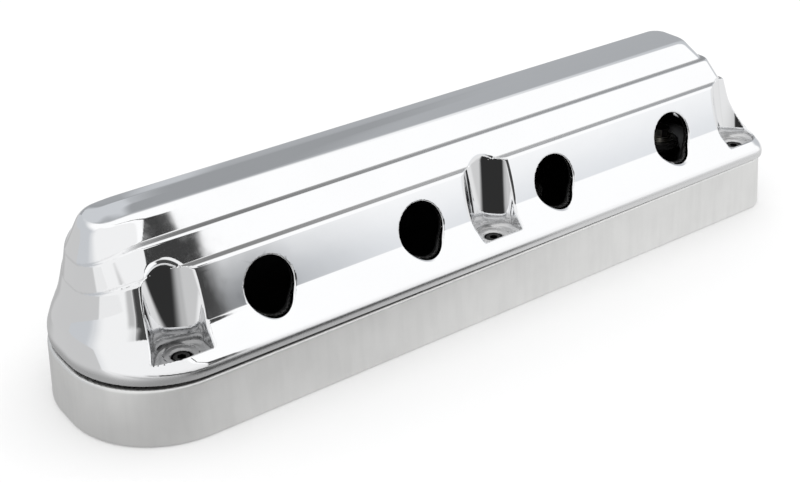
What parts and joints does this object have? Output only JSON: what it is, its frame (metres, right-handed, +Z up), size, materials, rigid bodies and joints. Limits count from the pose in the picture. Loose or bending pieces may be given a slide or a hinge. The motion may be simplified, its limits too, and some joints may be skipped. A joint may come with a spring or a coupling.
{
  "type": "engine valve cover",
  "caption": "Low cast base with a deck, under a tall polished tiered cover with a round nose, wire holes and recessed screw pockets along its sides.",
  "frame": {"origin": "middle of the rail face that meets the cylinder head", "axes": "+X along the rail from the round nose to the squared tail, -Y the side with the wire holes, +Z up"},
  "size_m": [0.4429, 0.112, 0.104],
  "materials": {
    "polished_cover": "mirror polished casting",
    "cast_base": "satin machined casting",
    "rubber_black": "moulded",
    "zinc_steel": "zinc plated",
    "turned_steel": "turned",
    "black_steel": "black oxide"
  },
  "bodies": {
    "root": {"base": "cast_base", "cover": "polished_cover", "rail_gasket": "rubber_black", "head_bolt_1": "zinc_steel", "head_washer_1": "zinc_steel", "head_grommet_1": "rubber_black", "head_sleeve_1": "turned_steel", "head_bolt_2": "zinc_steel", "head_washer_2": "zinc_steel", "head_grommet_2": "rubber_black", "head_sleeve_2": "turned_steel", "head_bolt_3": "zinc_steel", "head_washer_3": "zinc_steel", "head_grommet_3": "rubber_black", "head_sleeve_3": "turned_steel", "head_bolt_4": "zinc_steel", "head_washer_4": "zinc_steel", "head_grommet_4": "rubber_black", "head_sleeve_4": "turned_steel", "cover_screw_1": "black_steel", "cover_screw_2": "black_steel", "cover_screw_3": "black_steel", "cover_screw_4": "black_steel", "cover_screw_5": "black_steel", "cover_screw_6": "black_steel"}
  },
  "joints": []
}
